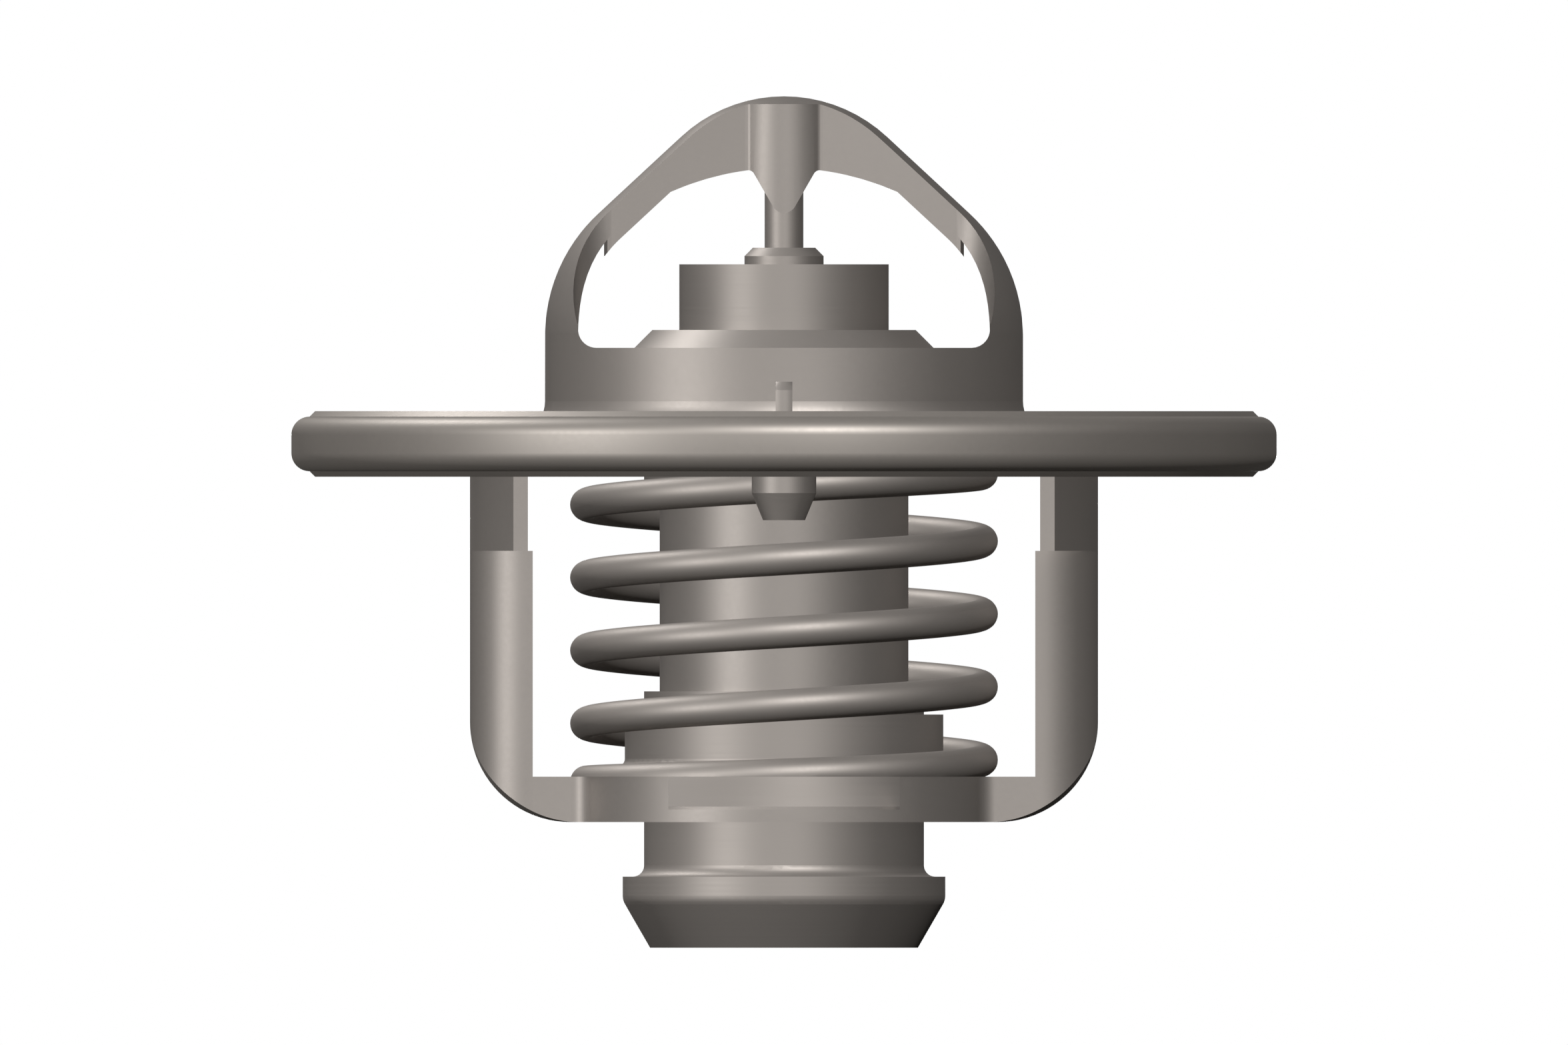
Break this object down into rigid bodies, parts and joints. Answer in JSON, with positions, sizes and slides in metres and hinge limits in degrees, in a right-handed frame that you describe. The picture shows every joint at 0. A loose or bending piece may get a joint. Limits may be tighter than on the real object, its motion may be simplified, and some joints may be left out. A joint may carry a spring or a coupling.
{
  "type": "engine thermostat",
  "caption": "Wax-element coolant thermostat: domed bridge over a spring-loaded valve, round sealing flange, stirrup and bypass plug.",
  "frame": {"origin": "centre of the flange, at the middle of its sheet, on the valve axis", "axes": "+Z along the valve axis, towards the domed bridge; the dome's windows face -Y and +Y"},
  "size_m": [0.054, 0.054, 0.0467],
  "materials": {
    "housing": "pressed stainless sheet, satin",
    "flange_seal": null,
    "piston": "ground pin, satin",
    "stirrup": "pressed stainless sheet, satin",
    "spring_seat_bush": "turned, satin",
    "main_spring": "drawn wire, satin",
    "element_body": "plated cup, satin grey",
    "piston_guide": "plated and turned, satin grey",
    "guide_bush": "plated and turned, satin grey",
    "piston_seal": "matt black",
    "backup_disc": "matt white",
    "rubber_boot": "matt black",
    "wax_charge": "dull wax",
    "valve_plate": "pressed stainless sheet, satin",
    "valve_seal": "moulded rubber, matt dark grey",
    "spring_cap": "pressed stainless sheet, satin",
    "bypass_plug": "turned, satin",
    "jiggle_pin": "turned, satin"
  },
  "bodies": {
    "frame": {"housing": "housing", "flange_seal": "flange_seal", "piston": "piston", "stirrup": "stirrup", "spring_seat_bush": "spring_seat_bush", "main_spring": "main_spring"},
    "element": {"element_body": "element_body", "piston_guide": "piston_guide", "guide_bush": "guide_bush", "piston_seal": "piston_seal", "backup_disc": "backup_disc", "rubber_boot": "rubber_boot", "wax_charge": "wax_charge", "valve_plate": "valve_plate", "valve_seal": "valve_seal", "spring_cap": "spring_cap", "bypass_plug": "bypass_plug"},
    "jiggle": {"jiggle_pin": "jiggle_pin"}
  },
  "joints": [
    {"name": "valve_lift", "type": "slide", "parent": "frame", "child": "element", "axis": [0, 0, -1], "range_m": [0, 0.006], "stiffness_N_per_m": 2200, "springref_m": -0.012, "deforming": ["main_spring"]},
    {"name": "jiggle_slide", "type": "slide", "parent": "frame", "child": "jiggle", "axis": [0, 0, -1], "range_m": [0, 0.0011]}
  ]
}
